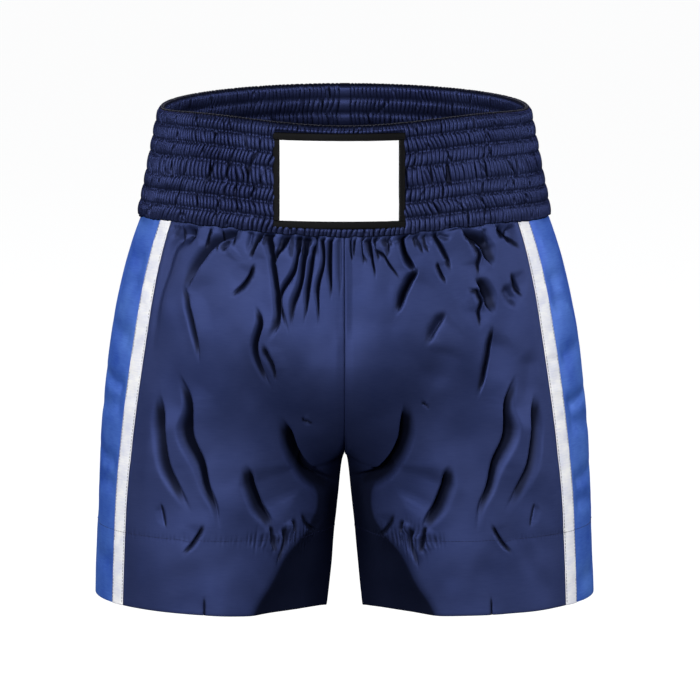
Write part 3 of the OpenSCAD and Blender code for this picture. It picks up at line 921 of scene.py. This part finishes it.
def add_rim(rings):
    ribs, _ = pucker(DEGREES, 0, 0.0, 0)
    for turned in range(0, 181, 30):
        a = math.radians(turned)
        # Painted shade: the rim is darkened in colour as if it lay deep in the gathers, which
        # also dims the shine on it.
        add_ring(rings, -RIM_DEPTH, -math.cos(a) * (RIM_ROUND - 0.3 * ribs),
                 np.maximum(ribs, 0.7), rise=(RIM_RISE - 0.6 * ribs) * math.sin(a))


def add_outer_row(rings, row):
    last = row == ROWS - 1
    for t in np.linspace(0, 1, 11)[1:]:
        z = mix(ROW_TOPS[row], ROW_TOPS[row + 1], t)
        puff = math.sin(math.pi * min(t, 0.999)) ** 0.45
        if row == 0:
            puff *= smooth(t / 0.45)
        if last:
            puff = max(puff, 0.5 * smooth(t / 0.5))
        shown = beside_patch(DEGREES, z)
        depth, lean = pucker(DEGREES, row, t, 0)
        ridge = COVER_STITCHED + COVER_BULGE * puff
        ridge += 0.25 * ring_noise(DEGREES, 150, 700 + row) * puff
        ridge = mix(2.2, ridge, shown) - 0.8 * np.exp(-((DEGREES - 180) / 0.3) ** 2)
        out = mix(ridge, COVER_CLEAR, depth * mix(0.5, 1, shown))
        # The lowest edge hangs unevenly.
        at_edge = smooth((t - 0.6) / 0.4) if last else 0.0
        droop = -at_edge * (0.5 + 0.9 * ring_noise(DEGREES, 130, 9)
                            + 0.5 * ring_noise(DEGREES, 260, 8))
        # Painted shade follows the depth of the gathers, with none under the patch.
        add_ring(rings, z, out, depth * shown, droop, lean * shown * mix(0.5, 1, puff))


def make_waistband():
    """The cover's strip of cloth: up its inner face, over the rim and down its outer face."""
    rings = []
    add_inner_face(rings)
    add_rim(rings)
    for row in range(ROWS):
        add_outer_row(rings, row)
    # Each ring's painted shade goes onto the strip's points.
    points, painted_shade_mask = zip(*rings)
    grid = np.stack(points, 1)
    steps = np.linalg.norm(np.diff(grid, axis=1), axis=-1).mean(0)
    length = np.concatenate([[0], np.cumsum(steps)])
    strip = 1.3         # metres of cloth that are gathered into the waistband's length
    u, v = np.meshgrid(DEGREES / 360 * strip, length * MM, indexing="ij")
    piece = shell("waistband_cloth", grid, np.stack([u, v], -1), WAIST_NAVY, wrap=True,
                  thickness=0.4, painted_shade_mask=np.stack(painted_shade_mask, 1))
    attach(piece, HIPS)
    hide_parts("waistband_cover")


def make_waist_stitching():
    degrees = np.linspace(0.5, 359.5, 1800)
    lines = []
    for number, top in enumerate(ROW_TOPS[1:-1]):
        z = np.full_like(degrees, top)
        sink = 0.2 * ring_noise(degrees, 300, 400 + number)
        n = waist_normal(degrees, z)
        lines.append((waist(degrees, z) + n * (COVER_STITCHED - 0.5 + sink)[:, None], n))
    piece = stitches("waistband_stitches", lines, NAVY_THREAD, thick=0.36)
    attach(piece, HIPS)
    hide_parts("waistband_stitching")

    z = np.full_like(degrees, -WAISTBAND_H + 1.6)
    n = waist_normal(degrees, z)
    line = waist(degrees, z) + n * COVER_STITCHED
    piece = stitches("waist_seam_stitches", [(line, n)], NAVY_THREAD, thick=0.36)
    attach(piece, HIPS)
    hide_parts("waist_seam_stitching")


# ---- Front patch ----

PATCH_TOP = -PATCH_DROP
BORDER_SIDE, BORDER_END = 5.1, 6.3
PATCH_HALF = PATCH_W / 2
FIELD_LOW, FIELD_HIGH = PATCH_TOP - PATCH_H + BORDER_END, PATCH_TOP - BORDER_END
PATCH_OUT = 3.0         # from the waist's middle layer out to the patch


def on_patch(x, z, out):
    """Points and normals over the waistband, at x across from the patch's middle."""
    degrees = np.degrees(np.arcsin((x - PATCH_SHIFT) / half_w(z)))
    p, n = waist(degrees, z), waist_normal(degrees, z)
    p[..., 2] = z
    return p + n * np.asarray(out)[..., None], n


def finish_patch_piece(piece, node):
    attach(piece, HIPS)
    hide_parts(node)


def make_patch():
    inner_w, inner_h = PATCH_W - 2 * BORDER_SIDE, PATCH_H - 2 * BORDER_END
    x, z = np.meshgrid(np.linspace(-inner_w / 2 - 1, inner_w / 2 + 1, 120),
                       np.linspace(FIELD_HIGH + 1, FIELD_LOW - 1, 90), indexing="ij")
    soft = 0.25 * lattice_noise(x / 16, z / 16, 301) + 0.12 * lattice_noise(x / 6, z / 6, 302)
    grid, _ = on_patch(x, z, PATCH_OUT + soft)
    piece = shell("patch_cloth", grid, np.stack([x, z], -1) * MM, PATCH, thickness=0.4)
    finish_patch_piece(piece, "patch_field")


def binding(name, x, z, along, across):
    """One strip of binding with rounded edges; across goes from 0 to 1 over its width."""
    crown = 0.75 * np.sin(np.pi * np.clip(across, 0.001, 0.999)) ** 0.3
    rough = 0.06 * lattice_noise(along / 3, across * 2, 310)
    grid, _ = on_patch(x, z, PATCH_OUT + 0.05 + crown + rough)
    return shell(name, grid, np.stack([x, z], -1) * MM, BORDER, thickness=0.5)


def make_border():
    strips = []
    for number, top in enumerate((PATCH_TOP, FIELD_LOW)):
        x, share = np.meshgrid(np.linspace(-PATCH_HALF, PATCH_HALF, 150),
                               np.linspace(0, 1, 13), indexing="ij")
        strips.append(binding(f"binding_{number}", x, top - share * BORDER_END, x, share))
    for number, left in enumerate((-PATCH_HALF, PATCH_HALF - BORDER_SIDE)):
        share, z = np.meshgrid(np.linspace(0, 1, 13),
                               np.linspace(FIELD_HIGH + 0.2, FIELD_LOW - 0.2, 90),
                               indexing="ij")
        strips.append(binding(f"binding_{number + 2}", left + share * BORDER_SIDE, z, z, share))
    bpy.ops.object.select_all(action="DESELECT")
    for strip in strips:
        strip.select_set(True)
    bpy.context.view_layer.objects.active = strips[0]
    bpy.ops.object.join()
    strips[0].name = strips[0].data.name = "patch_binding"
    finish_patch_piece(strips[0], "patch_border")


def make_patch_stitching():
    lines = []
    x = np.linspace(-PATCH_HALF + 1.2, PATCH_HALF - 1.2, 200)
    for height in (FIELD_HIGH + 1.1, FIELD_LOW - 1.1):
        lines.append(on_patch(x, np.full_like(x, height), np.full_like(x, PATCH_OUT + 1.05)))
    z = np.linspace(FIELD_HIGH + 0.2, FIELD_LOW - 0.2, 140)
    for across in (-PATCH_HALF + BORDER_SIDE - 1, PATCH_HALF - BORDER_SIDE + 1):
        lines.append(on_patch(np.full_like(z, across), z, np.full_like(z, PATCH_OUT + 1.0)))
    piece = stitches("patch_stitches", lines, BORDER_THREAD, length=2, pitch=2.6)
    finish_patch_piece(piece, "patch_stitching")


# ---- The elastics stay as the frame has them ----

def finish_elastics():
    for row in range(1, ROWS + 1):
        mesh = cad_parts[f"elastic_row_{row}"].data
        mesh.materials.clear()
        mesh.materials.append(ELASTIC)


# ---- Studio ----

def aim(ob, place, target):
    ob.location = place
    direction = np.array(target) - np.array(place)
    ob.rotation_euler = Vector(direction).to_track_quat("-Z", "Y").to_euler()


def softbox(name, place, size, power):
    """A rectangular light that faces the middle of the shorts and isn't seen itself."""
    data = bpy.data.lights.new(name, "AREA")
    data.shape = "RECTANGLE"
    data.size, data.size_y = size
    data.energy = power
    ob = bpy.data.objects.new(name, data)
    bpy.context.collection.objects.link(ob)
    aim(ob, place, (0, 0, -0.2))
    ob.visible_camera = False


def studio():
    white = (0.97, 0.972, 0.975)
    world = bpy.data.worlds.new("studio")
    world.use_nodes = True
    world.node_tree.nodes["Background"].inputs["Color"].default_value = (*white, 1)
    bpy.context.scene.world = world
    for ray in ("diffuse", "glossy", "transmission", "scatter"):
        setattr(world.cycles_visibility, ray, False)

    bpy.ops.mesh.primitive_circle_add(vertices=96, radius=60, fill_type="NGON",
                                      location=(0, 0, -0.9))
    floor = bpy.context.object
    floor.name = "floor"
    nodes = Nodes("floor")
    nodes.set(Base_Color=(0.1, 0.1, 0.1, 1), Roughness=1.0, Specular_IOR_Level=0.0,
              Emission_Color=(*white, 1), Emission_Strength=1.0)
    floor.data.materials.append(nodes.material)
    floor.visible_diffuse = floor.visible_glossy = False

    # The lights behind stand high, so that they put no glare on the sides.
    softbox("front_key", (-0.6, -3.35, 0.62), (1.2, 0.9), 74)
    for name, (x, y, z), wide, power, more in (("front", (2.4, -1.9, 0.5), 1.0, 34, 1),
                                               ("back", (1.1, 2.2, 2.0), 1.2, 87, -5),
                                               ("flank", (2.3, 0.2, 0.3), 0.9, 11, 3)):
        for hand in (-1, 1):
            softbox(f"{name}_{hand}", (x * hand, y, z), (wide, 0.9), power + more * hand)


def camera():
    """A long lens about ten metres away and a little above, as for a catalogue picture."""
    data = bpy.data.cameras.new("camera")
    data.sensor_width = 36
    field, distance = 0.595, 10.0       # what the picture spans and how far away, in metres
    elevation = math.radians(10.3)
    data.lens = data.sensor_width * distance / field
    data.clip_end = 200
    ob = bpy.data.objects.new("camera", data)
    bpy.context.collection.objects.link(ob)
    target = np.array([0.0047, 0.0, -0.2097])
    back = np.array([0, -math.cos(elevation), math.sin(elevation)])
    aim(ob, tuple(target + back * distance), tuple(target))
    bpy.context.scene.camera = ob
    bpy.context.scene.view_settings.view_transform = "Standard"


camera()
studio()
make_waistband()
make_waist_stitching()
make_patch()
make_border()
make_patch_stitching()
for side in SIDES:
    for kind in PANEL_LOOK:
        make_panel(kind, side)
    for kind in ("front_tape", "back_tape"):
        make_tape(kind, side)
    make_tape_stitching(side)
    make_hem_stitching(side)
finish_elastics()
